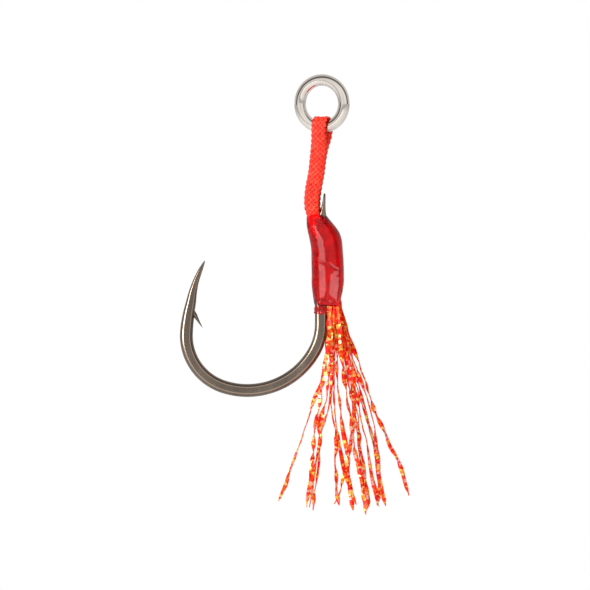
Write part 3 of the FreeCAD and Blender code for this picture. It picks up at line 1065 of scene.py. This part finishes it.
def make_collar(thread, resin):
    """Rough turns of thread below the coat, under a lumpy skin of resin."""
    def centre_at(height):
        waist = 0.05 * math.sin((height + 32.0) * 5.0)
        return SHANK_X, 1.03 + waist, 1.00 + waist

    points = helix(centre_at, COLLAR_TOP - 0.05, COLLAR_FOOT + 0.14, 0.24, 32)
    turns = wound_thread("collar_turns", points, 0.12, SHANK_X)
    coat_with(turns, thread)
    stations = [(height, SHANK_X, half_x, half_y) for height, half_x, half_y in COLLAR]
    skin = sleeve("collar_resin", stations, 40)
    apply_modifier(skin, "SUBSURF", levels=2, render_levels=2)
    lump(skin, 0.30, 2.2, SHANK_X)
    smooth(skin, 80)
    coat_with(skin, resin)
    for piece, slot in ((turns, "thread"), (skin, "resin")):
        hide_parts("tail_whipping")
        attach(piece, "hook")


# The tinsel

def strip_route(row, places):
    """The strip's line: beside its column at the binding, then leaning out with its row."""
    y = (row - 3.5) * ROW_PITCH
    lean = (row - 3.5) * ROW_LEAN
    start_x = places[0][0]
    spread = (INNER_SPREAD if start_x < 2.0 else OUTER_SPREAD)[row]
    controls = [at(start_x + spread * 0.6, y, STRIP_ROOT)]
    for x, height in places:
        drop = max(STRIP_TOP - height, 0)
        aside = spread * max(0.0, 1.0 - drop / 12.0)
        controls.append(at(x + aside, y + drop * math.sin(lean), height))
    return route(controls, 0.16 * MM)


def crinkled(line, seed):
    """The line with the small kinks that thin foil takes."""
    kinked = []
    for step, spot in enumerate(line):
        share = min(1.0, step / 40)
        along = Vector((step * 0.060, seed * 3.7, 0.5))
        kink = Vector((noise.noise(along), noise.noise(along + Vector((0, 0, 9))), 0))
        kinked.append(spot + kink * (0.20 * share * MM))
    return kinked


def make_strip(name, row, twist, phase, places):
    line = crinkled(strip_route(row, places), phase + row)
    skin = Skin()
    rings = []
    count = len(line)
    for step, (spot, ahead) in enumerate(zip(line, tangents(line))):
        share = step / (count - 1)
        grown = max(0.0, (share - 0.06) / 0.94)
        sway = noise.noise(Vector((step * 0.045, phase * 5.0, row))) * min(1.0, grown * 4)
        turn = math.pi * (0.30 * twist * grown + 0.75 * sway) + phase * 0.4 * min(1.0, grown * 3)
        side = Vector((0, 1, 0)).cross(ahead).normalized()
        out = ahead.cross(side).normalized()
        wide = side * math.cos(turn) + out * math.sin(turn)
        thin = ahead.cross(wide).normalized()
        half = STRIP_HALF_WIDTH * (1.0 - 0.80 * max(0.0, (share - 0.965) / 0.035))
        half *= 0.80 + 0.35 * noise.noise(Vector((step * 0.09, phase, row + 20.0)))
        ring = []
        for across, through in ((-1, -1), (0, -1), (1, -1), (1, 1), (0, 1), (-1, 1)):
            curl = STRIP_CURL * (1 - across * across)
            ring.append(spot + wide * (across * half * MM)
                        + thin * ((through * STRIP_THICKNESS / 2 + curl) * MM))
        rings.append(ring)
    skin.tube(rings, 0.16, 11.3 * phase + 5.7 * row)
    strip = skin.build(name)
    smooth(strip, 30)
    free = strip.data.attributes.new("from_binding", "FLOAT", "POINT")
    for vertex, value in zip(strip.data.vertices, free.data):
        drop = STRIP_TOP - vertex.co.z / MM
        value.value = 0.80 + 0.20 * min(max((drop - 1.5) / 6.0, 0.0), 1.0)
    return strip


def make_tuft(tuft, foil):
    for number, (row, twist, phase, places) in enumerate(TUFTS[tuft], start=1):
        strip = make_strip(f"{tuft}_strip_{number}", row, twist, phase, places)
        coat_with(strip, foil)
        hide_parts(f"{tuft}_{number}")
        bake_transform(strip)


def main():
    place_camera()
    light_studio()
    lay_floor()
    grain = grain_group()
    thread = binding_thread(grain)
    foil = tinsel_foil(grain)
    make_cord(braided_yarn(grain))
    make_ring(polished_steel(grain))
    make_hook(dark_nickel(grain))
    finish_node("tinsel_butts", bound_foil(grain))
    make_coat(red_resin(grain, "red_resin", 0.02, 0.03, (0.98, 0.035, 0.09)))
    make_whipping(thread)
    make_collar(thread, red_resin(grain, "dull_resin", 0.07, 0.8, (1.0, 0.34, 0.36)))
    for tuft in TUFTS:
        make_tuft(tuft, foil)
    resin = [bpy.data.objects[name] for name in ("binding_coat", "collar_resin")]
    bare = [piece for piece in bpy.data.objects if piece.type == "MESH"
            and piece.name.startswith(("hook_wire", "tinsel_", "cord_"))]
    light_pieces(bare, resin)
    put_down()


main()
